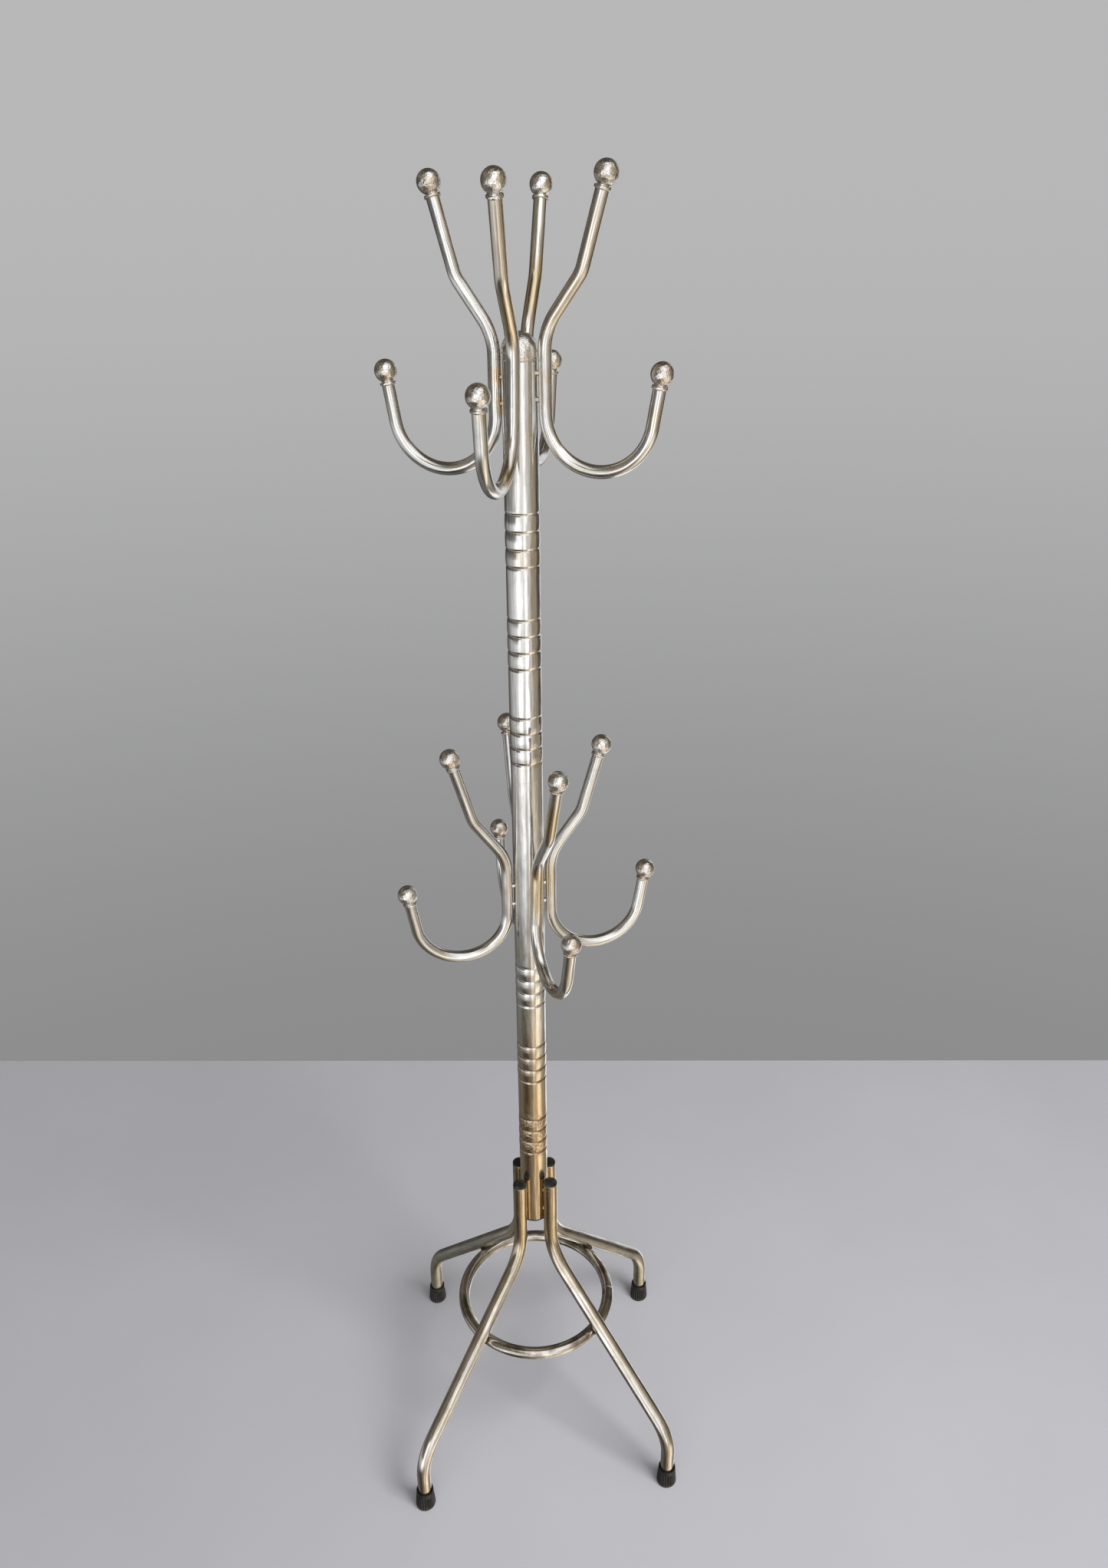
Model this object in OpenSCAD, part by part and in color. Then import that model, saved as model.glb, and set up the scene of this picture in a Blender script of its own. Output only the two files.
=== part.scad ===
// Standing coat rack: one round post with two tiers of four S-shaped hooks,
// four bent legs tied together by a ring, and a rubber foot under each leg.
// Millimetres, +Z up. The origin is on the floor, on the axis of the post.

/* [Post] */
// Outer diameter of the post tube
post_d = 38.1; // [30:0.1:50]
// Wall of the post tube
post_wall = 1.5; // [1:0.1:2.5]
// Height of the post tube's lower end above the floor
post_bottom = 372; // [360:1:400]
// Height of the post tube's upper end above the floor
post_top = 1529; // [1200:1:1900]
// Height of the straight rim under the dome of the cap
cap_rim = 9; // [2:0.5:20]
// Length of the cap's spigot inside the post
cap_spigot = 6; // [3:0.5:7]
// Thickness of the flange of the plug at the post's lower end
plug_flange = 2; // [1:0.5:5]
// Length of that plug's spigot
plug_spigot = 9; // [4:0.5:11]

/* [Grooves in the post] */
// Depth of each rolled groove
groove_depth = 0.7; // [0.3:0.1:0.9]
// Radius of the groove's round bottom
groove_round = 1.8; // [1:0.1:3]
// Distance between neighbouring grooves of a group
groove_pitch = 19.2; // [8:0.1:24]
// Grooves in each group
grooves = 4; // [1:1:5]
// Groups below each tier of hooks
groups = 3; // [1:1:3]
// From the upper hooks' studs down to the nearest group
upper_group_drop = 153; // [140:1:180]
// Distance between groups below the upper hooks
upper_group_pitch = 117; // [100:1:130]
// From the post's lower end up to the nearest group
lower_group_rise = 152; // [120:1:180]
// Distance between groups above the legs
lower_group_pitch = 123; // [100:1:130]

/* [Hooks] */
// Outer diameter of the hook tube
hook_d = 14; // [10:0.1:17]
// Wall of the hook tube
hook_wall = 1.5; // [1:0.1:2.5]
// Gap between the post and the hook tubes
hook_gap = 1.5; // [0.5:0.1:6]
// From the post's upper end down to the middle of the upper hooks' studs
upper_tier_drop = 30; // [28:1:60]
// From the upper hooks down to the lower hooks
tier_gap = 598; // [450:1:750]
// Bearing of each upper hook round the post
upper_bearings = [-21, 76, 161, 255]; // [-360:1:360]
// Bearing of each lower hook round the post
lower_bearings = [11, 105, 190, 288]; // [-360:1:360]
// How much higher each upper hook sits than its tier
upper_lifts = [5, -1, 0, -3]; // [-5:1:5]
// How much higher each lower hook sits than its tier
lower_lifts = [0, 1, 0, 0]; // [-5:1:5]
// Sideways lean of each upper hook
upper_leans = [-1, -1, 0, 1]; // [-3:0.5:3]
// Sideways lean of each lower hook
lower_leans = [0, 0, 1, 2]; // [-3:0.5:3]

/* [Hook shape] */
// Straight tube from the middle of the studs down to the curl
curl_drop = 25; // [20:1:50]
// Bend radius of the curl
curl_radius = 57.5; // [35:0.5:80]
// Outward lean of the tube that rises from the curl
tip_lean = 9.5; // [0:0.5:30]
// Straight tube from the curl up to its ball
tip_length = 36.7; // [5:0.1:80]
// Straight tube from the middle of the studs up to the arm's first bend
arm_rise = 34; // [20:1:60]
// Radius of the first bend, away from the post
arm_bend = 60; // [30:1:90]
// Slope of the arm after the first bend, from upright
arm_slope = 36; // [20:1:60]
// Straight tube between the two bends
arm_middle = 40; // [0:1:80]
// Radius of the second bend, back towards upright
arm_return_bend = 40; // [25:1:80]
// Slope of the arm's end, from upright
arm_end_slope = 16; // [0:1:19]
// Straight tube from the second bend to the upper ball
arm_end = 67.6; // [20:0.1:120]

/* [Balls] */
// Diameter of the balls
ball_d = 24; // [18:0.5:35]
// From the end of the tube to the middle of the ball
ball_seat = 14.5; // [14.5:0.5:25]
// Diameter of the collar under the ball
collar_d = 17; // [15:0.5:24]
// Height of the collar
collar_h = 3; // [1:0.5:4]
// Diameter of the neck between the collar and the ball
neck_d = 12; // [8:0.5:14]
// Length of the ball's spigot inside the tube
ball_spigot = 12; // [5:1:20]

/* [Studs] */
// Diameter of the studs that hold the hooks and the legs
stud_d = 4; // [3:0.1:5]
// Diameter of the shoulder between the post and a tube
shoulder_d = 5.6; // [5.5:0.1:8]
// Diameter of the head inside the post
head_d = 7; // [6:0.1:8]
// Thickness of the head inside the post
head_h = 1.5; // [1:0.1:3]
// How far a stud reaches past the wall of the tube that it holds
stud_end = 1; // [0.5:0.1:3]
// Distance between the two studs of a hook
hook_stud_pitch = 26; // [18:1:30]
// From the post's lower end up to the lower stud of a leg
leg_stud_rise = 16; // [16:1:30]
// Distance between the two studs of a leg
leg_stud_pitch = 34; // [15:1:36]

/* [Legs] */
// Outer diameter of the leg tube
leg_d = 19.05; // [16:0.05:24]
// Wall of the leg tube
leg_wall = 1.5; // [1:0.1:2.5]
// Gap between the post and the legs
leg_gap = 1.2; // [0.5:0.1:5]
// How far the legs reach up past the post's lower end
leg_overlap = 69; // [69:1:90]
// Distance of each foot from the axis of the post
foot_r = 243.5; // [190:0.5:300]
// Height where the upright top and the slope would meet
hip_z = 316; // [300:1:325]
// Height where the slope and the upright end would meet
ankle_z = 92.5; // [75:0.5:110]
// Radius of the upper bend
hip_bend = 90; // [50:1:100]
// Radius of the lower bend
ankle_bend = 80; // [50:1:90]
// Bearing of each leg round the post
leg_bearings = [44, 133.5, 228, 319.5]; // [-360:0.5:360]
// Thickness of the head of the plug in each leg's top
leg_plug_head = 3; // [1:0.5:6]
// Length of that plug's spigot
leg_plug_spigot = 12; // [5:1:14]

/* [Ring] */
// Radius of the ring, to the middle of its tube
ring_r = 107; // [70:0.5:125]
// Outer diameter of the ring's tube
ring_d = 16; // [10:0.5:20]
// Wall of the ring's tube
ring_wall = 1.5; // [1:0.1:3]
// Gap that the weld fills between the ring and each leg
weld_gap = 0.3; // [0.1:0.1:1]
// Radius of each spot of weld
weld_r = 6; // [4:0.5:7]

/* [Feet] */
// Height of a rubber foot
foot_h = 30; // [20:1:40]
// Rubber under the end of the leg
foot_floor = 5; // [3:0.5:10]
// Diameter of the foot near the floor
foot_d = 28; // [27:0.5:36]
// Rubber round the leg at the foot's top
foot_lip = 2.5; // [1.5:0.1:4]
// Radius of the foot's lower edge
foot_edge = 3; // [1:0.5:5]

/* [Fits] */
// Clearance round a spigot, on the radius
spigot_fit = 0.1; // [0.05:0.05:0.3]
// Clearance round a stud, on the radius
stud_fit = 0.1; // [0.05:0.05:0.3]
// Clearance between a leg and its foot, on the radius
foot_fit = 0.1; // [0.05:0.05:0.3]

/* [Hidden] */
$fn = 96;

UPPER = 0;
LOWER = 1;
post_r = post_d / 2;
hook_r = hook_d / 2;
leg_r = leg_d / 2;
ring_tube_r = ring_d / 2;
bend_draw = 0.02; // how much thinner a bend's wall is, on each side
past = 1; // how far a cutting solid runs past what it cuts

// hooks: one entry for each tier
tier_z = [post_top - upper_tier_drop, post_top - upper_tier_drop - tier_gap];
bearings = [upper_bearings, lower_bearings];
lifts = [upper_lifts, lower_lifts];
leans = [upper_leans, lower_leans];
hook_axis_r = post_r + hook_gap + hook_r;
curl_path = [[curl_drop], [curl_radius, 180 - tip_lean], [tip_length]];
arm_path = [[arm_rise], [arm_bend, arm_slope], [arm_middle],
    [arm_return_bend, arm_end_slope - arm_slope], [arm_end]];

// legs: an upright top, a slope between two bends, and an upright end
leg_axis_r = post_r + leg_gap + leg_r;
leg_top = post_bottom + leg_overlap;
leg_slope = atan((foot_r - leg_axis_r) / (hip_z - ankle_z));
slope_length = (hip_z - ankle_z) / cos(leg_slope);
hip_tangent = hip_bend * tan(leg_slope / 2);
ankle_tangent = ankle_bend * tan(leg_slope / 2);
leg_path = [[leg_top - hip_z - hip_tangent], [hip_bend, leg_slope],
    [slope_length - hip_tangent - ankle_tangent], [ankle_bend, -leg_slope],
    [ankle_z - ankle_tangent - foot_floor]];

// the ring lies against the under side of the sloping legs
ring_to_leg = leg_r + weld_gap + ring_tube_r;
ring_leg_r = ring_r + ring_to_leg * cos(leg_slope);
ring_z = hip_z - (ring_leg_r - leg_axis_r) / tan(leg_slope) - ring_to_leg * sin(leg_slope);

// heights of the middle grooves of each group
group_heights = concat(
    [for (g = [0:groups - 1]) tier_z[UPPER] - upper_group_drop - g * upper_group_pitch],
    [for (g = [0:groups - 1]) post_bottom + lower_group_rise + g * lower_group_pitch]);

// ---- shared shapes ----

// The cut across a tube, or across a rod if the wall leaves no hollow
module tube_section(d, wall) {
    difference() {
        circle(d = d);
        if (d > 2 * wall) circle(d = d - 2 * wall);
    }
}

// Moves on to the end of one step of a path. A path runs along +Z and is a list of steps,
// each a straight [length] or a bend [radius, angle], with a positive angle towards +X.
module onward(step) {
    if (len(step) == 1)
        translate([0, 0, step[0]]) children();
    else
        rotate([0, 0, step[1] < 0 ? 180 : 0])
            translate([step[0], 0, 0])
                rotate([0, abs(step[1]), 0])
                    translate([-step[0], 0, 0])
                        rotate([0, 0, step[1] < 0 ? 180 : 0]) children();
}

// A tube along a path. Its bends are drawn slightly thinner than its straights.
module tube_along(path, d, wall, at = 0) {
    if (at < len(path)) {
        step = path[at];
        if (len(step) == 1)
            linear_extrude(step[0]) tube_section(d, wall);
        else
            rotate([0, 0, step[1] < 0 ? 180 : 0])
                translate([step[0], 0, 0])
                    rotate([90, 0, 180])
                        rotate_extrude(angle = abs(step[1])) translate([step[0], 0])
                            tube_section(d - 2 * bend_draw, wall - 2 * bend_draw);
        onward(step) tube_along(path, d, wall, at + 1);
    }
}

// Puts its children at the end of a path, with +Z still running along it
module path_end(path, at = 0) {
    if (at < len(path))
        onward(path[at]) path_end(path, at + 1) children();
    else
        children();
}

// A rod along +X, which is the way from the post's axis out to a hook or a leg
module radial_rod(from, to, d) {
    translate([from, 0, 0]) rotate([0, 90, 0]) cylinder(d = d, h = to - from);
}

// ---- places ----

// The frame of hook k: the post's axis at the middle of its studs, +X out to the hook
module hook_frame(tier, k) {
    rotate([0, 0, bearings[tier][k]])
        translate([0, 0, tier_z[tier] + lifts[tier][k]])
            rotate([-leans[tier][k], 0, 0]) children();
}

module hook_stud_places() {
    for (side = [-1, 1]) translate([0, 0, side * hook_stud_pitch / 2]) children();
}

module leg_stud_places() {
    for (n = [0, 1])
        translate([0, 0, post_bottom + leg_stud_rise + n * leg_stud_pitch]) children();
}

// From the middle of the studs, up the arm and down to the curl
module arm_start() {
    translate([hook_axis_r, 0, 0]) children();
}

module curl_start() {
    translate([hook_axis_r, 0, 0]) rotate([180, 0, 0]) children();
}

module leg_start(k) {
    rotate([0, 0, leg_bearings[k]])
        translate([leg_axis_r, 0, leg_top]) rotate([180, 0, 0]) children();
}

// ---- post ----

module stud_hole(tube_gap, tube_wall) {
    radial_rod(post_r - post_wall - past, post_r + tube_gap + tube_wall + past,
        stud_d + 2 * stud_fit);
}

module hook_stud_holes(tier, k) {
    hook_frame(tier, k) hook_stud_places() stud_hole(hook_gap, hook_wall);
}

module leg_stud_holes(k) {
    rotate([0, 0, leg_bearings[k]]) leg_stud_places() stud_hole(leg_gap, leg_wall);
}

module groove_group(middle) {
    for (n = [0:grooves - 1])
        translate([0, 0, middle + (n - (grooves - 1) / 2) * groove_pitch])
            rotate_extrude() translate([post_r - groove_depth + groove_round, 0])
                circle(groove_round, $fn = 32);
}

module post() {
    color("silver") difference() {
        translate([0, 0, post_bottom])
            linear_extrude(post_top - post_bottom) tube_section(post_d, post_wall);
        for (middle = group_heights) groove_group(middle);
        for (k = [0:3]) {
            hook_stud_holes(UPPER, k);
            hook_stud_holes(LOWER, k);
            leg_stud_holes(k);
        }
    }
}

module post_cap() {
    color("silver") translate([0, 0, post_top]) {
        translate([0, 0, -cap_spigot])
            cylinder(r = post_r - post_wall - spigot_fit, h = cap_spigot);
        cylinder(r = post_r, h = cap_rim);
        translate([0, 0, cap_rim]) intersection() {
            sphere(post_r);
            cylinder(r = post_r + past, h = post_r + past);
        }
    }
}

module post_plug() {
    color("dimgray") translate([0, 0, post_bottom - plug_flange]) {
        cylinder(r = post_r, h = plug_flange);
        cylinder(r = post_r - post_wall - spigot_fit, h = plug_flange + plug_spigot);
    }
}

// ---- hooks ----

module hook(tier, k) {
    color("gainsboro") difference() {
        hook_frame(tier, k) {
            arm_start() tube_along(arm_path, hook_d, hook_wall);
            curl_start() tube_along(curl_path, hook_d, hook_wall);
        }
        hook_stud_holes(tier, k);
    }
}

// A ball with its neck, its collar and the spigot that fills the end of the tube
module ball() {
    color("gainsboro") {
        translate([0, 0, ball_seat]) sphere(d = ball_d);
        cylinder(d = neck_d, h = ball_seat);
        cylinder(d = collar_d, h = collar_h);
        translate([0, 0, -ball_spigot])
            cylinder(r = hook_r - hook_wall - spigot_fit, h = ball_spigot);
    }
}

module arm_ball(tier, k) {
    hook_frame(tier, k) arm_start() path_end(arm_path) ball();
}

module curl_ball(tier, k) {
    hook_frame(tier, k) curl_start() path_end(curl_path) ball();
}

// ---- studs ----

// The shank and the head inside the post
module stud(tube_gap, tube_wall) {
    head_seat = sqrt(pow(post_r - post_wall, 2) - pow(head_d / 2, 2));
    radial_rod(head_seat - head_h, post_r + tube_gap + tube_wall + stud_end, stud_d);
    radial_rod(head_seat - head_h, head_seat, head_d);
}

// The shoulder fills the gap between the post and the tube
module shoulder(tube_gap, tube_r) {
    radial_rod(post_r - past, post_r + tube_gap + tube_r, shoulder_d);
}

module hook_studs(tier) {
    color("lightgray") for (k = [0:3]) {
        hook_frame(tier, k) hook_stud_places() stud(hook_gap, hook_wall);
        difference() {
            hook_frame(tier, k) hook_stud_places() shoulder(hook_gap, hook_r);
            translate([0, 0, post_bottom]) cylinder(r = post_r, h = post_top - post_bottom);
            hook_frame(tier, k) translate([hook_axis_r, 0, -curl_drop])
                cylinder(r = hook_r, h = curl_drop + arm_rise);
        }
    }
}

module leg_studs() {
    color("lightgray") for (k = [0:3]) rotate([0, 0, leg_bearings[k]]) {
        leg_stud_places() stud(leg_gap, leg_wall);
        difference() {
            leg_stud_places() shoulder(leg_gap, leg_r);
            translate([0, 0, post_bottom]) cylinder(r = post_r, h = leg_overlap);
            translate([leg_axis_r, 0, post_bottom]) cylinder(r = leg_r, h = leg_overlap);
        }
    }
}

// ---- base ----

module leg(k) {
    color("tan") difference() {
        leg_start(k) tube_along(leg_path, leg_d, leg_wall);
        leg_stud_holes(k);
    }
}

module leg_plug(k) {
    color("dimgray") rotate([0, 0, leg_bearings[k]])
        translate([leg_axis_r, 0, leg_top]) {
            cylinder(r = leg_r, h = leg_plug_head);
            translate([0, 0, -leg_plug_spigot])
                cylinder(r = leg_r - leg_wall - spigot_fit, h = leg_plug_spigot);
        }
}

module base_ring() {
    color("silver") translate([0, 0, ring_z])
        rotate_extrude() translate([ring_r, 0]) tube_section(ring_d, ring_wall);
}

// The weld between the ring and each leg. Over so short a length the ring counts as straight.
module ring_welds() {
    color("dimgray") for (k = [0:3]) rotate([0, 0, leg_bearings[k]])
        translate([ring_r, 0, ring_z]) rotate([0, -leg_slope, 0]) difference() {
            rotate([0, 90, 0]) cylinder(r = weld_r, h = ring_to_leg);
            translate([ring_to_leg, 0, -weld_r - past]) cylinder(r = leg_r, h = 2 * (weld_r + past));
            rotate([90, 0, 0]) translate([0, 0, -weld_r - past])
                cylinder(r = ring_tube_r, h = 2 * (weld_r + past));
        }
}

module foot(k) {
    color("black") rotate([0, 0, leg_bearings[k]]) translate([foot_r, 0, 0]) difference() {
        union() {
            cylinder(d = foot_d - 2 * foot_edge, h = foot_edge);
            translate([0, 0, foot_edge]) {
                rotate_extrude() translate([foot_d / 2 - foot_edge, 0]) circle(foot_edge);
                cylinder(r1 = foot_d / 2, r2 = leg_r + foot_lip, h = foot_h - foot_edge);
            }
        }
        translate([0, 0, foot_floor]) cylinder(r = leg_r + foot_fit, h = foot_h);
    }
}

// ---- nodes ----

post();
post_cap();
post_plug();
hook_studs(UPPER);  // upper_hook_studs
hook_studs(LOWER);  // lower_hook_studs
leg_studs();
base_ring();
ring_welds();
for (k = [0:3]) {
    hook(UPPER, k);
    hook(LOWER, k);
    arm_ball(UPPER, k);
    arm_ball(LOWER, k);
    curl_ball(UPPER, k);
    curl_ball(LOWER, k);
    leg(k);
    leg_plug(k);
    foot(k);
}
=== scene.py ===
"""Looks of a standing coat rack: a grooved post, eight S-shaped hooks with ball ends, four bent
legs, the ring that ties them and a rubber foot under each leg.  Metres, +Z up, floor at 0."""

import math

import bpy
import numpy as np
from mathutils import Matrix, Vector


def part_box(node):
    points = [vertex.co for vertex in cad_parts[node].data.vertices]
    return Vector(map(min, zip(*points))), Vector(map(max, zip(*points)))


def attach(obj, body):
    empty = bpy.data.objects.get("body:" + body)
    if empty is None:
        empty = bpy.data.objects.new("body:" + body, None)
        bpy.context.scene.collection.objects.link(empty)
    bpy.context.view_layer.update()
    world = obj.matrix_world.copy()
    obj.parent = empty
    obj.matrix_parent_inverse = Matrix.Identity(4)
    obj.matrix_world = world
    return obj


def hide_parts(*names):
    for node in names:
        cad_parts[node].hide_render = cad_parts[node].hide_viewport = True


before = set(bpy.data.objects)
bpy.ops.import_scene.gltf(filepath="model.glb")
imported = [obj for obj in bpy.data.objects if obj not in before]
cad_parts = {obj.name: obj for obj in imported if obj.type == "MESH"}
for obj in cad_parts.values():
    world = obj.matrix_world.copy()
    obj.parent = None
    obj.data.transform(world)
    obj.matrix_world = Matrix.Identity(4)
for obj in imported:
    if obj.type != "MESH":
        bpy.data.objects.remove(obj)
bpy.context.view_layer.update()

# ---- sizes, in metres and degrees ----

post_low, post_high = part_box("post")
POST_R = (post_high.x - post_low.x) / 2
POST_BOTTOM, POST_TOP = post_low.z, post_high.z
TUBE_WALL = 0.0015
TURNED_EDGE = 0.0004  # rounding of a cut or turned edge
PLAY = 0.0001  # gap between a spigot, a seat or a foot and the tube that it fits

CAP_RIM, CAP_SPIGOT = 0.009, 0.006
CAP_LIP, CAP_LIP_H, CAP_LIP_END = 0.0003, 0.0022, 0.003
PLUG_FLANGE, PLUG_SPIGOT = 0.002, 0.009

GROOVE_DEPTH, GROOVE_WIDTH = 0.0008, 0.0013
BAND_BULGE = 0.00035
GROOVE_PITCH, GROOVES = 0.0192, 4
UPPER_DROP, UPPER_GROUP_PITCH = 0.153, 0.117
LOWER_RISE, LOWER_GROUP_PITCH = 0.152, 0.123
GROUPS = 3

HOOK_R, HOOK_GAP = 0.007, 0.0015
HOOK_AXIS_R = POST_R + HOOK_GAP + HOOK_R
UPPER_TIER = POST_TOP - 0.030
TIERS = {
    "upper": dict(height=UPPER_TIER, bearings=(-21, 76, 161, 255),
                  lifts=(0.005, -0.001, 0.0, -0.003), leans=(-1, -1, 0, 1)),
    "lower": dict(height=UPPER_TIER - 0.598, bearings=(11, 105, 190, 288),
                  lifts=(0.0, 0.001, 0.0, 0.0), leans=(0, 0, 1, 2)),
}
CURL_STEPS = ((0.025,), (0.0575, 170.5), (0.0367,))
ARM_STEPS = ((0.034,), (0.060, 36), (0.040,), (0.040, -20), (0.0676,))

BALL_R, BALL_SEAT, BALL_SPIGOT = 0.012, 0.0145, 0.012
COLLAR_R, COLLAR_H, NECK_R = 0.0085, 0.003, 0.006

STUD_R, STUD_SHOULDER_R, STUD_HEAD_R, STUD_HEAD_H = 0.002, 0.0028, 0.0035, 0.0015
STUD_END = 0.001
HOOK_STUD_PITCH, LEG_STUD_RISE, LEG_STUD_PITCH = 0.026, 0.016, 0.034

LEG_R, LEG_GAP = 0.009525, 0.0012
LEG_AXIS_R = POST_R + LEG_GAP + LEG_R
LEG_TOP = POST_BOTTOM + 0.069
LEG_BEARINGS = (44, 133.5, 228, 319.5)
FOOT_AXIS_R, HIP_Z, ANKLE_Z = 0.2435, 0.316, 0.0925
HIP_BEND, ANKLE_BEND = 0.090, 0.080
FOOT_FLOOR = 0.005
LEG_PLUG_HEAD, LEG_PLUG_SPIGOT = 0.003, 0.012

RING_R, RING_TUBE_R, WELD_GAP = 0.107, 0.008, 0.0003

FOOT_H, FOOT_R, FOOT_LIP, FOOT_EDGE = 0.030, 0.014, 0.0025, 0.003
RIBS, RIB_DEPTH = 22, 0.0013
RIBS_LOW, RIBS_HIGH = 0.002, 0.0245

leg_slope = math.atan((FOOT_AXIS_R - LEG_AXIS_R) / (HIP_Z - ANKLE_Z))
hip_tangent = HIP_BEND * math.tan(leg_slope / 2)
ankle_tangent = ANKLE_BEND * math.tan(leg_slope / 2)
LEG_STEPS = (
    (LEG_TOP - HIP_Z - hip_tangent,),
    (HIP_BEND, math.degrees(leg_slope)),
    ((HIP_Z - ANKLE_Z) / math.cos(leg_slope) - hip_tangent - ankle_tangent,),
    (ANKLE_BEND, -math.degrees(leg_slope)),
    (ANKLE_Z - ankle_tangent - FOOT_FLOOR,),
)
RING_Z = sum(corner.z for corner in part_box("base_ring")) / 2


# ---- camera, lights and floor ----

CAMERA_PLACE = (0.0, -1.263, 1.6505)
CAMERA_PITCH, CAMERA_PAN, CAMERA_ROLL = 25.39, 1.46, 0.38
CAMERA_LENS = 26.91
FLOOR_TURN = -2.0


def turned_about(axis, degrees):
    """The matrix that turns a column vector about one of the axes x, y or z (0, 1 or 2)."""
    c, s = math.cos(math.radians(degrees)), math.sin(math.radians(degrees))
    i, j = (axis + 1) % 3, (axis + 2) % 3
    turn = np.eye(3)
    turn[i, i], turn[i, j], turn[j, i], turn[j, j] = c, -s, s, c
    return turn


def placed(obj, turn, place):
    """Puts an object at a place with its axes along the columns of a turning matrix."""
    matrix = np.eye(4)
    matrix[:3, :3], matrix[:3, 3] = turn, place
    obj.matrix_world = Matrix(matrix)
    bpy.context.scene.collection.objects.link(obj)
    return obj


def make_camera():
    """A camera in front of the rack that looks down at it, and a little to the right."""
    data = bpy.data.cameras.new("camera")
    data.lens, data.sensor_width = CAMERA_LENS, 36
    data.clip_start, data.clip_end = 0.05, 50
    turn = (turned_about(2, -CAMERA_PAN) @ turned_about(0, 90 - CAMERA_PITCH)
            @ turned_about(2, -CAMERA_ROLL))
    bpy.context.scene.camera = placed(bpy.data.objects.new("camera", data), turn, CAMERA_PLACE)


def make_softbox(name, place, target, size, watts, colour):
    """A rectangular area light at a place, facing a target."""
    data = bpy.data.lights.new(name, "AREA")
    data.shape, data.size, data.size_y = "RECTANGLE", *size
    data.energy, data.color = watts, colour
    away = np.subtract(place, target) / np.linalg.norm(np.subtract(place, target))
    side = np.cross((0, 0, 1), away)
    side /= np.linalg.norm(side)
    turn = np.stack([side, np.cross(away, side), away], 1)
    light = placed(bpy.data.objects.new(name, data), turn, place)
    light.visible_glossy = False


make_camera()


# ---- node trees ----

class Wire:
    """A node's output that takes part in arithmetic, such as 1 - mask or mask * 0.5."""

    def __init__(self, nodes, socket):
        self.nodes, self.socket = nodes, socket

    def _maths(self, operation, first, second):
        return self.nodes.add("ShaderNodeMath", {"operation": operation}, {0: first, 1: second})

    def __add__(self, other):
        return self._maths("ADD", self, other)

    def __sub__(self, other):
        return self._maths("SUBTRACT", self, other)

    def __rsub__(self, other):
        return self._maths("SUBTRACT", other, self)

    def __mul__(self, other):
        return self._maths("MULTIPLY", self, other)

    def __pow__(self, other):
        return self._maths("POWER", self, other)

    def most(self, other):
        """The larger of two values."""
        return self._maths("MAXIMUM", self, other)

    __radd__ = __add__


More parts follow.
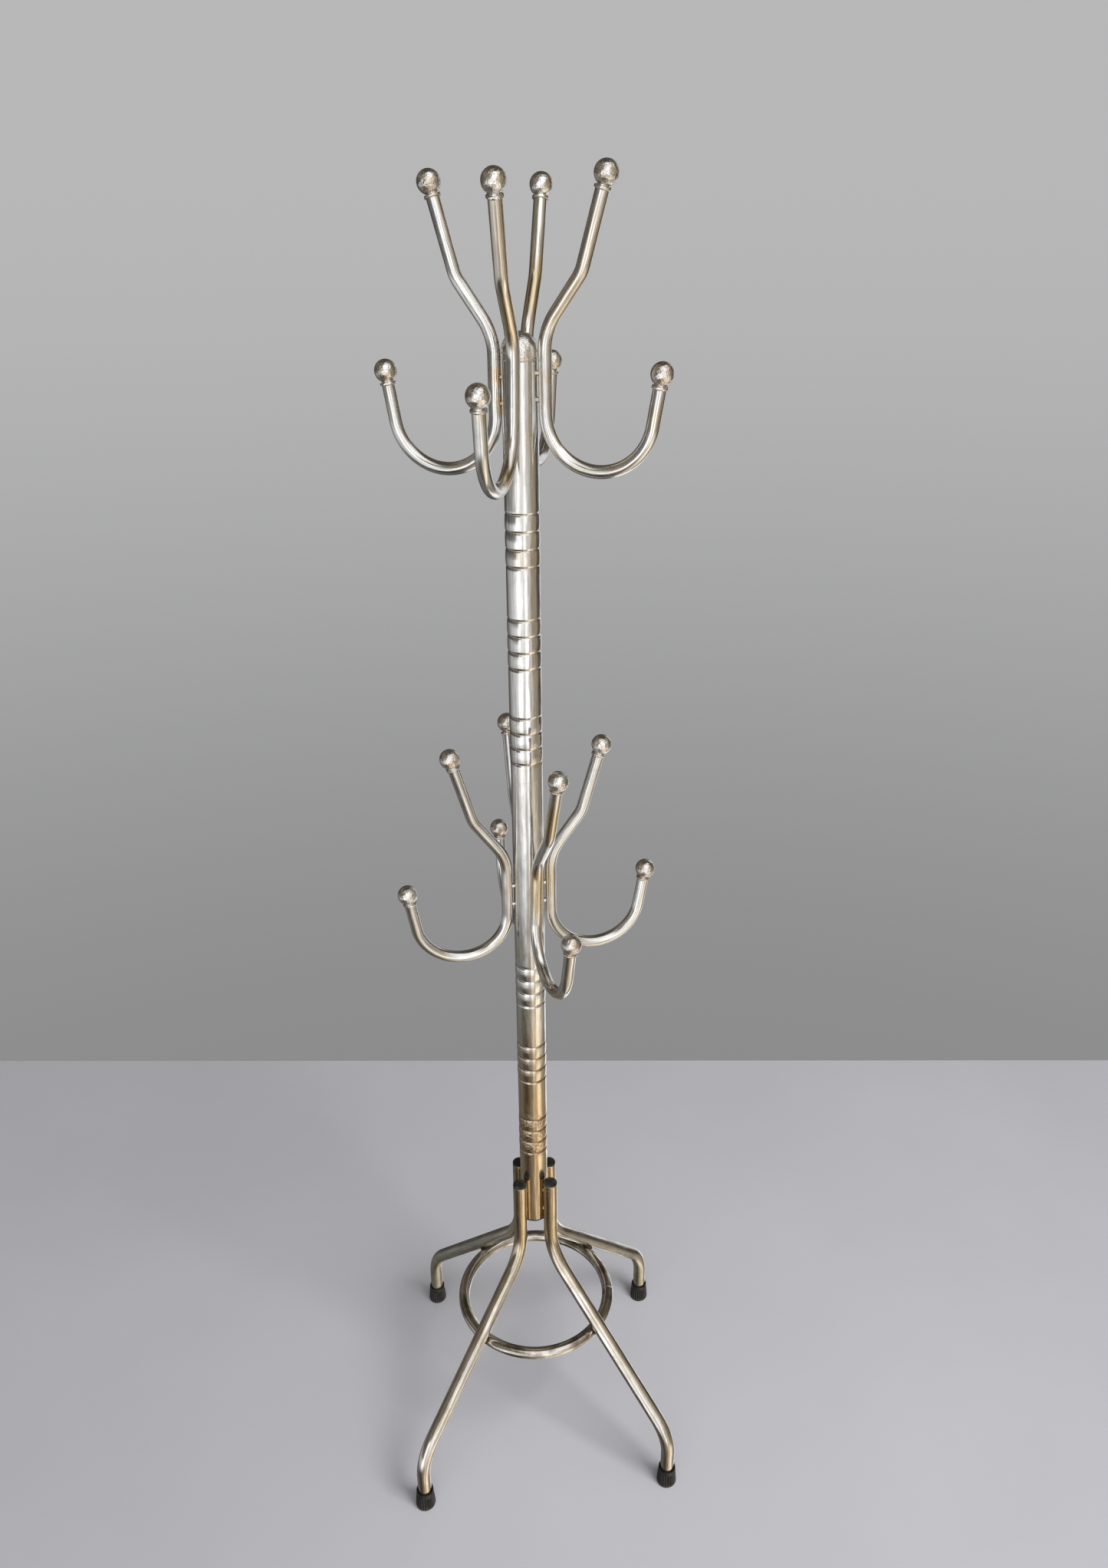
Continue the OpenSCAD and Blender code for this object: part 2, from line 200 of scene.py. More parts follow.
class Nodes:
    """The node tree of a material or a world, with the patterns that the finishes share."""

    def __init__(self, tree):
        self.tree = tree
        tree.nodes.clear()

    def add(self, kind, settings=None, sockets=None, output=0):
        """A node of one kind: its settings first, then the value or the link of each socket."""
        node = self.tree.nodes.new(kind)
        for key, value in (settings or {}).items():
            if key == "stops":
                self._set_stops(node.color_ramp, value)
            else:
                setattr(node, key, value)
        for key, value in (sockets or {}).items():
            if isinstance(value, Wire):
                self.tree.links.new(value.socket, node.inputs[key])
            else:
                node.inputs[key].default_value = value
        return Wire(self, node.outputs[output]) if len(node.outputs) else node

    @staticmethod
    def _set_stops(ramp, stops):
        """Gives a colour ramp its stops, each a position from 0 to 1 and a colour."""
        while len(ramp.elements) < len(stops):
            ramp.elements.new(1)
        for element, (position, colour) in zip(ramp.elements, stops):
            element.position, element.color = position, (*colour, 1)

    def place(self):
        """A point's coordinates, in metres."""
        return self.add("ShaderNodeTexCoord", output="Object")

    def unbent(self):
        """Where a point of a tube would lie if the tube were straight and along X."""
        return self.add("ShaderNodeAttribute", {"attribute_name": "unbent"}, output="Vector")

    def coordinate(self, at, axis):
        return self.add("ShaderNodeSeparateXYZ", sockets={0: at}, output=axis)

    def noise(self, at, scale, detail=3.0, stretch=(1, 1, 1)):
        """Cloudy values between 0 and 1, with about scale times stretch clouds to the metre."""
        scaled = self.add("ShaderNodeMapping", {"vector_type": "POINT"},
                          {"Vector": at, "Scale": [scale * k for k in stretch]})
        return self.add("ShaderNodeTexNoise", sockets={"Vector": scaled, "Scale": 1.0,
                                                       "Detail": detail, "Roughness": 0.55})

    def spots(self, at, scale, smallest, largest):
        """Round spots scattered at random: 1 in the middle of a spot, 0 outside it."""
        distance = self.add("ShaderNodeTexVoronoi", {"feature": "F1"},
                            {"Vector": at, "Scale": scale, "Randomness": 1.0})
        return self.step(distance, largest, smallest)

    def step(self, value, start, end):
        """0 up to start and 1 from end on, with a smooth rise between them."""
        return self.add("ShaderNodeMapRange", {"interpolation_type": "SMOOTHSTEP"},
                        {"Value": value, "From Min": start, "From Max": end})

    def near(self, at, centre, inner, outer, stretch=(1, 1, 1)):
        """1 within the inner distance of a centre, falling smoothly to 0 at the outer one."""
        scaled = self.add("ShaderNodeVectorMath", {"operation": "MULTIPLY"},
                          {0: at, 1: stretch})
        distance = self.add("ShaderNodeVectorMath", {"operation": "DISTANCE"},
                            {0: scaled, 1: [c * k for c, k in zip(centre, stretch)]},
                            output="Value")
        return self.step(distance, outer, inner)

    def mix(self, factor, first, second):
        """A colour between two colours."""
        colours = {6: first, 7: second}
        colours = {k: v if isinstance(v, Wire) else (*v, 1) for k, v in colours.items()}
        return self.add("ShaderNodeMix", {"data_type": "RGBA"}, {0: factor, **colours}, output=2)

    def shade(self, factor, colour):
        """A colour darkened by a factor between 0 and 1."""
        return self.mix(factor, (0, 0, 0), colour)

    def bump(self, height, distance, strength=1.0, under=None):
        """A normal tilted by the slope of a height, on top of the normal under it if given."""
        sockets = {"Height": height, "Distance": distance, "Strength": strength}
        if under is not None:
            sockets["Normal"] = under
        return self.add("ShaderNodeBump", sockets=sockets)


class Finish(Nodes):
    """A material whose surface is one Principled shader."""

    def __init__(self, name):
        self.material = bpy.data.materials.new(name)
        self.material.use_nodes = True
        super().__init__(self.material.node_tree)

    def surface(self, **sockets):
        """Ends the material with a shader, from its sockets' names with _ for each space."""
        named = {key.replace("_", " "): value for key, value in sockets.items()}
        shader = self.add("ShaderNodeBsdfPrincipled", sockets=named)
        self.add("ShaderNodeOutputMaterial", sockets={"Surface": shader})
        return self.material


def ring_stops(*pairs):
    """Ramp stops from pairs of a bearing and a colour.  A bearing is in degrees: 0 is the front,
    where the camera stands, and a positive one is to its right."""
    return [(0.5 + bearing / 360, colour) for bearing, colour in pairs]


def grey(level, warmth=0.0):
    """A grey of one level, with its red raised and its blue lowered by the warmth."""
    return (level * (1 + warmth), level, level * (1 - 1.3 * warmth))


def make_world():
    """The room that the metal mirrors, by the bearing of a mirrored ray and by its rise z, which
    is -1 straight down and 1 straight up.  Below about -0.5 the ray meets a low ring of soft
    lights and dark gaps, and up to about 0.3 a level ring with a dark doorway on the left.  A
    high ring follows up to about 0.7, and then a ceiling, bright over the front and dark over
    the rear.  The camera itself sees a plain grey backdrop that darkens low down."""
    world = bpy.data.worlds.new("studio")
    bpy.context.scene.world = world
    world.use_nodes = True
    w = Nodes(world.node_tree)
    direction = w.add("ShaderNodeTexCoord", output="Generated")
    x, y, z = (w.coordinate(direction, axis) for axis in "XYZ")
    bearing = w.add("ShaderNodeMath", {"operation": "ARCTAN2"}, {0: x, 1: y * -1})
    bearing = bearing * (1 / math.tau) + 0.5
    level_ring = w.add("ShaderNodeValToRGB", {"stops": ring_stops(
        (-180, grey(0.05)), (-155, grey(0.07)), (-138, grey(0.11, 0.15)), (-114, grey(0.34)),
        (-90, grey(0.50)), (-50, grey(0.95)), (-40, grey(1.6)), (-24, grey(1.6)),
        (-16, grey(1.1)), (0, grey(0.70, 0.03)), (8, grey(1.5)), (20, grey(1.45)),
        (30, grey(0.56, 0.05)), (48, grey(0.62, 0.08)), (58, grey(0.27, 0.2)),
        (90, grey(0.28, 0.2)), (108, grey(0.06, 0.1)), (128, grey(0.09)),
        (136, grey(0.12, 0.1)), (143, grey(0.85)), (158, grey(0.85)),
        (168, grey(0.06)))}, {0: bearing})
    low_ring = w.add("ShaderNodeValToRGB", {"stops": ring_stops(
        (-180, grey(0.08)), (-140, grey(0.15)), (-90, grey(0.15, 0.08)), (-65, grey(0.07, 0.15)),
        (-40, grey(0.05, 0.2)), (-20, grey(0.18, 0.2)), (0, grey(0.24, 0.2)),
        (14, grey(0.75, 0.12)), (30, grey(0.40, 0.25)), (44, grey(1.15, 0.22)),
        (66, grey(1.2, 0.10)), (86, grey(0.40, 0.15)), (120, grey(0.22, 0.1)),
        (134, grey(0.25)), (143, grey(1.4)), (164, grey(1.4)), (174, grey(0.08)))}, {0: bearing})
    high_ring = w.add("ShaderNodeValToRGB", {"stops": ring_stops(
        (-180, grey(0.06, 0.1)), (-130, grey(0.16, 0.15)), (-60, grey(0.20, 0.2)),
        (-24, grey(0.16, 0.25)), (-8, grey(1.35)), (32, grey(1.35)), (48, grey(0.65, 0.15)),
        (80, grey(0.30, 0.25)), (105, grey(0.07, 0.2)), (135, grey(0.12, 0.2)))}, {0: bearing})
    overhead = w.mix(w.step(x * 0.5 - y, 0.05, 0.40), (0.08, 0.065, 0.05), (1.15, 1.15, 1.15))
    sides = w.mix(w.step(z, -0.62, -0.38), low_ring, level_ring)
    doorway = w.step(x, -0.45, -0.75) * w.step(z, -0.26, -0.17)
    sides = w.mix(doorway * 0.85, sides, (0.05, 0.042, 0.03))
    mirrored = w.mix(w.step(z, 0.25, 0.42), sides, high_ring)
    mirrored = w.mix(w.step(z, 0.60, 0.80), mirrored, overhead)
    backdrop = w.mix(w.step(z, -0.65, 0.05), (0.262, 0.262, 0.262), (0.475, 0.475, 0.478))
    seen = w.add("ShaderNodeLightPath", output="Is Camera Ray")
    colour = w.mix(seen, mirrored, backdrop)
    shader = w.add("ShaderNodeBackground", sockets={"Color": colour, "Strength": 1.0})
    w.add("ShaderNodeOutputWorld", sockets={"Surface": shader})


# ---- surfaces ----

def walk(steps, s):
    """Points and directions at lengths s along a flat path that starts at (0, 0) and heads up.
    A step is a straight (length,) or a bend (radius, degrees), positive to the right.  In a
    straight the point moves by length times direction.  In a bend from heading a to heading b,
    in (right, up), it moves by radius times (cos a - cos b, sin b - sin a).  Before the first
    step and after the last the path runs straight on."""
    point, heading, start = np.zeros(2), 0.0, 0.0
    xy = np.zeros((len(s), 2))
    headings = np.zeros(len(s))
    for i, step in enumerate(steps):
        bend = math.radians(step[1]) if len(step) == 2 else 0.0
        length = step[0] * abs(bend) if bend else step[0]
        first, last = i == 0, i == len(steps) - 1
        here = ((s >= start) | first) & ((s < start + length) | last)
        t = np.append(s[here] - start, length)
        if bend:
            turned = heading + bend * t / length
            ahead = np.stack([math.cos(heading) - np.cos(turned),
                              np.sin(turned) - math.sin(heading)], 1) * step[0] * np.sign(bend)
        else:
            turned = np.full(len(t), heading)
            ahead = np.stack([np.sin(turned) * t, np.cos(turned) * t], 1)
        xy[here], headings[here] = point + ahead[:-1], turned[:-1]
        point, heading, start = point + ahead[-1], turned[-1], start + length
    return xy, np.stack([np.sin(headings), np.cos(headings)], 1)


def length_of(steps):
    """A flat path's length: a straight adds its own and a bend its radius times its angle."""
    return sum(step[0] * abs(math.radians(step[1])) if len(step) == 2 else step[0]
               for step in steps)


def carried(line, s, r, around):
    """A round section carried along a line: the point at length s and angle a is
    line(s) + r * (cos a * normal + sin a * binormal).  r holds one radius for each length, or
    one for each length and angle.  Also gives each point's place on the unbent tube,
    (s, r cos a, r sin a)."""
    s = np.asarray(s, float)
    a = np.arange(around) * math.tau / around
    r = np.broadcast_to(np.asarray(r, float).reshape(len(s), -1), (len(s), around))
    middle, normal, binormal = line(s)
    grid = (middle[:, None] + (r * np.cos(a))[..., None] * normal[:, None]
            + (r * np.sin(a))[..., None] * binormal[:, None])
    straight = np.stack([np.broadcast_to(s[:, None], r.shape), r * np.cos(a), r * np.sin(a)], 2)
    return grid, straight


def quads_of(rows, columns, looped):
    """Faces of a grid whose columns close on themselves, and its rows too if it is looped."""
    index = np.arange(rows * columns).reshape(rows, columns)
    below = index if looped else index[:-1]
    above = np.roll(index, -1, 0) if looped else index[1:]
    corners = [below, np.roll(below, -1, 1), np.roll(above, -1, 1), above]
    return np.stack(corners, -1).reshape(-1, 4)


def make_piece(name, surfaces, material, replaced, sharp=38.0):
    """One mesh from a list of (grid, unbent, looped) surfaces.  Points that agree to a tenth of
    a micrometre are welded, and a face that is left with fewer than three corners is dropped."""
    points = np.concatenate([grid.reshape(-1, 3) for grid, _, _ in surfaces])
    unbent = np.concatenate([straight.reshape(-1, 3) for _, straight, _ in surfaces])
    faces, first = [], 0
    for grid, _, looped in surfaces:
        faces.append(quads_of(*grid.shape[:2], looped) + first)
        first += grid.shape[0] * grid.shape[1]
    faces = np.concatenate(faces)
    key = np.round(points * 1e7).astype(np.int64)
    _, kept, merged = np.unique(key, axis=0, return_index=True, return_inverse=True)
    faces = merged.reshape(-1)[faces]
    keep = faces != np.roll(faces, -1, 1)
    sizes = keep.sum(1)
    whole = sizes > 2
    loops = faces[whole][keep[whole]]
    sizes = sizes[whole]
    mesh = bpy.data.meshes.new(name)
    mesh.vertices.add(len(kept))
    mesh.vertices.foreach_set("co", points[kept].astype(np.float32).reshape(-1))
    mesh.loops.add(len(loops))
    mesh.loops.foreach_set("vertex_index", loops.astype(np.int32))
    mesh.polygons.add(len(sizes))
    mesh.polygons.foreach_set("loop_start", np.concatenate([[0], np.cumsum(sizes)[:-1]])
                              .astype(np.int32))
    mesh.update(calc_edges=True)
    mesh.validate()
    mesh.shade_smooth()
    mesh.set_sharp_from_angle(angle=math.radians(sharp))
    attribute = mesh.attributes.new("unbent", "FLOAT_VECTOR", "POINT")
    attribute.data.foreach_set("vector", unbent[kept].astype(np.float32).reshape(-1))
    mesh.materials.append(material)
    piece = bpy.data.objects.new(name, mesh)
    bpy.context.scene.collection.objects.link(piece)
    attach(piece, "root")
    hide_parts(replaced)
    return piece


def rounded(corners, edge=TURNED_EDGE, cuts=3):
    """An outline (s, r) with its inner corners rounded: each is replaced by the curve
    (1 - t)^2 * before + 2 t (1 - t) * corner + t^2 * after, with before and after a short way
    along the two sides."""
    corners = np.asarray(corners, float)
    out = [corners[:1]]
    t = np.linspace(0, 1, cuts + 1)[:, None]
    for a, b, c in zip(corners[:-2], corners[1:-1], corners[2:]):
        to_a, to_c = a - b, c - b
        reach_a, reach_c = np.linalg.norm(to_a), np.linalg.norm(to_c)
        before = b + to_a * min(edge / reach_a, 0.45)
        after = b + to_c * min(edge / reach_c, 0.45)
        out.append((1 - t) ** 2 * before + 2 * t * (1 - t) * b + t ** 2 * after)
    out.append(corners[-1:])
    return np.concatenate(out)


def arc(centre, radius, start, end, cuts):
    """Points (s, r) on a circle: centre + radius * (cos a, sin a)."""
    a = np.radians(np.linspace(start, end, cuts + 1))
    return np.stack([centre[0] + radius * np.cos(a), centre[1] + radius * np.sin(a)], 1)


def solid(line, outline, around):
    """A turned solid: its outline starts and ends on the line."""
    outline = np.asarray(outline)
    return (*carried(line, outline[:, 0], outline[:, 1], around), False)


def tube(line, start, end, r, around, spacing, shape=None):
    """A tube with its inside: the outer wall from start to end and the inner wall back, joined by
    rounded rims.  shape gives the outer radius at each length, if it isn't the same all along."""
    edge = TURNED_EDGE
    rows = max(2, int((end - start - 2 * edge) / spacing))
    s = np.linspace(start + edge, end - edge, rows) if shape is None else shape[0]
    outer = np.full(len(s), r) if shape is None else shape[1]
    inner = r - TUBE_WALL
    few = np.linspace(end - edge, start + edge, max(2, rows // 4))
    s = np.concatenate([[start], s, [end, end], few, [start]])
    r = np.concatenate([[r - edge], outer, [r - edge, inner + edge], np.full(len(few), inner),
                        [inner + edge]])
    return (*carried(line, s, r, around), True)


# ---- lines that sections are carried along ----

def upright(x, y, z):
    """A line straight up from a point."""
    def line(s):
        one = np.ones((len(s), 1))
        return (np.array([x, y, z]) + s[:, None] * (0, 0, 1),
                one * (1.0, 0.0, 0.0), one * (0.0, 1.0, 0.0))
    return line


def in_world(turn, place, flat, direction):
    """A flat path, in (outward, up), turned and put in place: its points, the normals that lie
    in its plane and the normal of the plane."""
    points = np.stack([flat[:, 0], 0 * flat[:, 0], flat[:, 1]], 1) @ turn.T + place
    normals = np.stack([direction[:, 1], 0 * direction[:, 0], -direction[:, 0]], 1) @ turn.T
    across = np.broadcast_to(turn[:, 1], points.shape)
    return points, normals, across


def hook_turn(tier, k):
    """A hook's turn and place: it leans about its outward axis and is turned to its bearing, at
    its tier's height plus its own lift."""
    places = TIERS[tier]
    turn = turned_about(2, places["bearings"][k]) @ turned_about(0, -places["leans"][k])
    return turn, np.array([0, 0, places["height"] + places["lifts"][k]])


def hook_line(tier, k):
    """The middle of a hook's tube.  Length 0 is level with the middle of its studs; the arm
    rises from there with positive lengths and the curl falls with negative ones."""
    turn, place = hook_turn(tier, k)

    def line(s):
        arm, arm_way = walk(ARM_STEPS, np.maximum(s, 0))
        curl, curl_way = walk(CURL_STEPS, np.maximum(-s, 0))
        rising = (s >= 0)[:, None]
        flat = np.where(rising, arm, curl * (1, -1)) + (HOOK_AXIS_R, 0)
        way = np.where(rising, arm_way, curl_way * (-1, 1))
        return in_world(turn, place, flat, way)
    return line


def leg_line(k):
    """The middle of a leg's tube, from its top down to the end inside the foot."""
    turn = turned_about(2, LEG_BEARINGS[k])

    def line(s):
        flat, way = walk(LEG_STEPS, s)
        return in_world(turn, np.array([0, 0, LEG_TOP]), flat * (1, -1) + (LEG_AXIS_R, 0),
                        way * (1, -1))
    return line


def radial_line(turn, place):
    """A line straight out from the post's axis."""
    def line(s):
        one = np.ones((len(s), 1))
        return place + s[:, None] * turn[:, 0], one * turn[:, 1], one * turn[:, 2]
    return line


def ring_line(s):
    """The circle through the middle of the base ring's tube."""
    a = s / RING_R
    out = np.stack([np.cos(a), np.sin(a), 0 * a], 1)
    return out * RING_R + (0, 0, RING_Z), out, np.broadcast_to([0.0, 0.0, 1.0], out.shape)


# ---- finishes ----

SILVER = (0.88, 0.875, 0.86)
GOLD = (0.78, 0.61, 0.36)
BROWN = (0.30, 0.20, 0.12)


def worn_metal(m, colour, roughness, streaks=0.25, pits=0.5, dents=None):
    """Aged plating over any base colour: long drawn streaks, cloudy patches, pits, scratches and
    shallow dents.  dents is a normal that takes the place of the usual ones."""
    place, unbent = m.place(), m.unbent()
    streak = m.step(m.noise(unbent, 420, 4, (0.03, 1, 1)), 0.38, 0.66)
    cloud = m.step(m.noise(place, 38, 4), 0.45, 0.68)
    pitted = m.step(m.noise(place, 55, 3), 0.50, 0.66)
    pit = m.spots(place, 620, 0.10, 0.34) * pitted * pits
    scratch = m.step(m.noise(unbent, 2600, 2, (0.02, 1, 1)), 0.60, 0.70)
    colour = m.shade(1 - streak * streaks, colour)
    colour = m.mix(pit, colour, BROWN)
    colour = m.mix(cloud * 0.16, colour, (0.66, 0.62, 0.54))
    rough = (roughness + cloud * 0.10 + streak * 0.05 + pit * 0.4 + scratch * 0.06)
    dents = dents or m.bump(m.noise(unbent, 60, 2, (0.22, 1, 1)), 0.001)
    normal = m.bump(scratch + pit * -4, 0.00003, 0.6, under=dents)
    return m.surface(Base_Color=colour, Metallic=1.0, Roughness=rough, Normal=normal)


def post_chrome():
    """Plating with a warm reflection painted on it that turns it golden towards the floor.  The
    grooves are darker wherever the distance from the axis is less than the plain radius, the more
    so low down, and the plating is crackled and brown round the lowest group of them."""
    m = Finish("post_chrome")
    place = m.place()
    height = m.coordinate(place, "Z")
    # Painted warm reflection: the colour turns golden towards the floor, and random golden patches
    # join it in warm.
    lowness = m.step(height + m.noise(place, 14, 3) * 0.10, 0.82, 0.62)
    patch = m.step(m.noise(place, 22, 4), 0.56, 0.72)
    warm = (lowness * 0.8).most(patch * 0.35)
    across, along = m.coordinate(place, "X"), m.coordinate(place, "Y")
    from_axis = (across * across + along * along) ** 0.5
    sunk = m.step(from_axis, POST_R - 0.00005, POST_R - GROOVE_DEPTH * 0.5)
    lowest = m.near(place, (0, 0, POST_BOTTOM + LOWER_RISE), 0.026, 0.042, (0, 0, 1))
    crackle = m.noise(place, 260, 4)
    # The grooves are made darker, the more so low down.
    colour = m.mix(sunk * (lowness * 0.65 + 0.2), m.mix(warm, SILVER, GOLD), BROWN)
    colour = m.mix(m.step(crackle, 0.45, 0.58) * lowest * 0.7, colour, (0.42, 0.27, 0.17))
    ripple = m.noise(m.unbent(), 60, 2, (0.22, 1, 1)) + crackle * lowest * 0.8
    return worn_metal(m, colour, 0.10, dents=m.bump(ripple, 0.001))


def hook_chrome(painted_gold_reflections, rusted):
    """Silvery plating, with a golden reflection painted round each (centre, reach, amount) of its
    first list, and a dark spot of rust and a brown stain round each centre in rusted."""
    m = Finish("hook_chrome")
    place = m.place()
    patch = m.step(m.noise(place, 24, 4), 0.52, 0.70) * 0.4
    # Golden reflections are painted round the given places, over random golden patches.
    for centre, reach, amount in painted_gold_reflections:
        patch = patch.most(m.near(place, centre, reach * 0.3, reach) * amount)
    colour = m.mix(patch, SILVER, GOLD)
    for centre in rusted:
        stain = m.near(place, centre, 0.002, 0.0135, (1, 1, 0.6)) * m.noise(place, 260, 4) * 1.7
        rust = m.near(place, centre, 0.0012, 0.0030, (1, 1, 0.75))
        colour = m.mix(m.step(stain, 0.15, 0.85) * 0.8, colour, (0.90, 0.64, 0.36))
        colour = m.mix(rust * 0.95, colour, (0.13, 0.05, 0.02))
    return worn_metal(m, colour, 0.12)


def ball_chrome():
    """Plating with cloudy, speckled patches and small dents, for the balls and the cap."""
    m = Finish("ball_chrome")
    place = m.place()
    patch = m.step(m.noise(place, 110, 4), 0.44, 0.62)
    speck = m.spots(place, 700, 0.14, 0.45) * m.step(m.noise(place, 130, 3), 0.44, 0.56)
    colour = m.mix(patch * 0.6, SILVER, (0.72, 0.58, 0.42))
    colour = m.mix(speck * 0.75, colour, BROWN)
    return worn_metal(m, colour, 0.10, streaks=0.1, dents=m.bump(m.noise(place, 260, 3), 0.0011))


def leg_chrome(name, dulled, darkened):
    """Thin, yellowed plating, with a golden reflection painted on its upper parts.  dulled, from 0
    to 1, makes its rear dull and greenish, less so on the right, and darkened, from 0 to 1,
    darkens its cloudy patches."""
    m = Finish(name)
    place = m.place()
    height = m.coordinate(place, "Z")
    rear = m.step(m.coordinate(place, "Y"), 0.02, 0.06) * dulled
    rear = rear * (1 - m.step(m.coordinate(place, "X"), 0.0, 0.03) * 0.6)
    # The upright tops of the legs get a golden reflection painted on them.
    high = m.step(height, 0.26, 0.36)
    cloud = m.step(m.noise(place, 30, 4), 0.42, 0.66)
    colour = m.mix(cloud * 0.5, (0.84, 0.80, 0.74), (0.74, 0.63, 0.48))
    colour = m.mix(high * 0.75, colour, (0.64, 0.49, 0.28))
    colour = m.mix(rear * 0.8, colour, (0.52, 0.53, 0.45))
    colour = m.shade(1 - cloud * darkened, colour)
    return worn_metal(m, colour, 0.11 + rear * 0.22, streaks=0.3, pits=0.8)


def stud_steel():
    """Bright turned steel with turning marks."""
    m = Finish("stud_steel")
    place = m.place()
    mark = m.noise(m.unbent(), 5200, 2, (1, 0.1, 0.1))
    cloud = m.step(m.noise(place, 300, 3), 0.45, 0.65)
    colour = m.mix(cloud, (0.86, 0.83, 0.78), (0.62, 0.52, 0.42))
    return m.surface(Base_Color=colour, Metallic=1.0, Roughness=0.2 + cloud * 0.2,
                     Normal=m.bump(mark, 0.00002))


def weld_steel():
    """Lumpy, scorched weld metal with rust."""
    m = Finish("weld_steel")
    place = m.place()
    lump = m.noise(place, 700, 4)
    rust = m.step(m.noise(place, 420, 4), 0.44, 0.60)
    colour = m.mix(rust, (0.03, 0.024, 0.018), (0.11, 0.055, 0.032))
    return m.surface(Base_Color=colour, Metallic=0.6 - rust * 0.4, Roughness=0.5 + rust * 0.3,
                     Normal=m.bump(lump, 0.0008))


def plug_plastic():
    """Black moulded plastic, greyed by dust."""
    m = Finish("plug_plastic")
    place = m.place()
    dust = m.step(m.noise(place, 160, 4), 0.45, 0.70)
    grain = m.noise(place, 3200, 2)
    colour = m.mix(dust * 0.7, (0.014, 0.015, 0.014), (0.07, 0.075, 0.06))
    return m.surface(Base_Color=colour, Roughness=0.38 + dust * 0.25,
                     Normal=m.bump(grain, 0.00006, 0.6))


def foot_rubber():
    """Black rubber, scuffed grey on its ribs and near the floor."""
    m = Finish("foot_rubber")
    place = m.place()
    height = m.coordinate(place, "Z")
    scuff = m.step(m.noise(place, 240, 5), 0.48, 0.70)
    low = m.step(height, 0.008, 0.0)
    grain = m.noise(place, 2400, 3)
    colour = m.mix((scuff * 0.5).most(low * 0.6), (0.007, 0.007, 0.008), (0.06, 0.056, 0.054))
    return m.surface(Base_Color=colour, Roughness=0.42 + scuff * 0.25,
                     Normal=m.bump(grain, 0.0001, 0.7))


def floor_paint():
    """Pale matt paint with faint clouds."""
    m = Finish("floor_paint")
    cloud = m.noise(m.place(), 2.5, 5)
    colour = m.mix(cloud, (0.60, 0.617, 0.69), (0.68, 0.697, 0.77))
    return m.surface(Base_Color=colour, Roughness=0.7)


# ---- pieces ----

def groove_heights():
    """The middles of the groups of grooves, and each groove's offset from its group's middle."""
    uppers = UPPER_TIER - UPPER_DROP - np.arange(GROUPS) * UPPER_GROUP_PITCH
    lowers = POST_BOTTOM + LOWER_RISE + np.arange(GROUPS) * LOWER_GROUP_PITCH
    offsets = (np.arange(GROOVES) - (GROOVES - 1) / 2) * GROOVE_PITCH
    return np.concatenate([uppers, lowers]), offsets


def make_post(metal):
    """The post's radius is its plain radius, less a bell-shaped dip at each groove, plus a low
    swelling that rises and falls once between neighbouring grooves of a group.  The rows of
    points crowd together at the grooves, as half of t^3 + t does at t = 0."""
    middles, offsets = groove_heights()
    grooves = (middles[:, None] + offsets).reshape(-1)
    plain = np.arange(POST_BOTTOM + TURNED_EDGE, POST_TOP - TURNED_EDGE, 0.006)
    t = np.linspace(-1, 1, 17)
    fine = (t ** 3 + t) / 2
    z = np.concatenate([plain, (grooves[:, None] + fine * GROOVE_PITCH / 2).reshape(-1),
                        [POST_TOP - TURNED_EDGE]])
    z = np.unique(np.round(z, 5))
    dip = np.exp(-((z[:, None] - grooves) / GROOVE_WIDTH) ** 2).sum(1)
    reach = np.abs(z[:, None] - middles).min(1)
    within = reach < -offsets[0]
    swell = np.sin(math.pi * (reach / GROOVE_PITCH - 0.5)) ** 2 * within
    shape = (z - POST_BOTTOM, POST_R - GROOVE_DEPTH * dip + BAND_BULGE * swell)
    surface = tube(upright(0, 0, POST_BOTTOM), 0, POST_TOP - POST_BOTTOM, POST_R, 96, 0.006,
                   shape)
    make_piece("post_tube", [surface], metal, "post")


def make_cap(metal):
    """A straight rim under half a sphere, with a spigot that the post's end hides."""
    spigot_r = POST_R - TUBE_WALL - PLAY
    foot = rounded([(-CAP_SPIGOT, 0), (-CAP_SPIGOT, spigot_r), (PLAY, spigot_r),
                    (PLAY, POST_R + CAP_LIP), (CAP_LIP_H, POST_R + CAP_LIP),
                    (CAP_LIP_END, POST_R), (CAP_RIM, POST_R)])
    dome = arc((CAP_RIM, 0), POST_R, 90, 0, 28)[1:]
    surface = solid(upright(0, 0, POST_TOP), np.concatenate([foot, dome]), 96)
    make_piece("post_cap_dome", [surface], metal, "post_cap")


def make_post_plug(plastic):
    """A flange as wide as the post, under a spigot that fits inside its end."""
    spigot_r = POST_R - TUBE_WALL - PLAY
    outline = rounded([(0, 0), (0, POST_R), (PLUG_FLANGE, POST_R), (PLUG_FLANGE, spigot_r),
                       (PLUG_FLANGE + PLUG_SPIGOT, spigot_r), (PLUG_FLANGE + PLUG_SPIGOT, 0)])
    surface = solid(upright(0, 0, POST_BOTTOM - PLUG_FLANGE), outline, 64)
    make_piece("post_end_plug", [surface], plastic, "post_plug")


def ball_outline():
    """Spigot, collar, neck and ball, measured from the end of the tube.  The ball starts at the
    angle where it is as wide as the neck."""
    spigot_r = HOOK_R - TUBE_WALL - PLAY
    start = math.degrees(math.acos(-math.sqrt(1 - (NECK_R / BALL_R) ** 2)))
    ball = arc((BALL_SEAT, 0), BALL_R, start, 0, 30)
    stem = rounded([(-BALL_SPIGOT, 0), (-BALL_SPIGOT, spigot_r), (PLAY, spigot_r),
                    (PLAY, COLLAR_R), (COLLAR_H, COLLAR_R), (COLLAR_H, NECK_R), ball[0]],
                   0.0008)
    return np.concatenate([stem, ball[1:]])


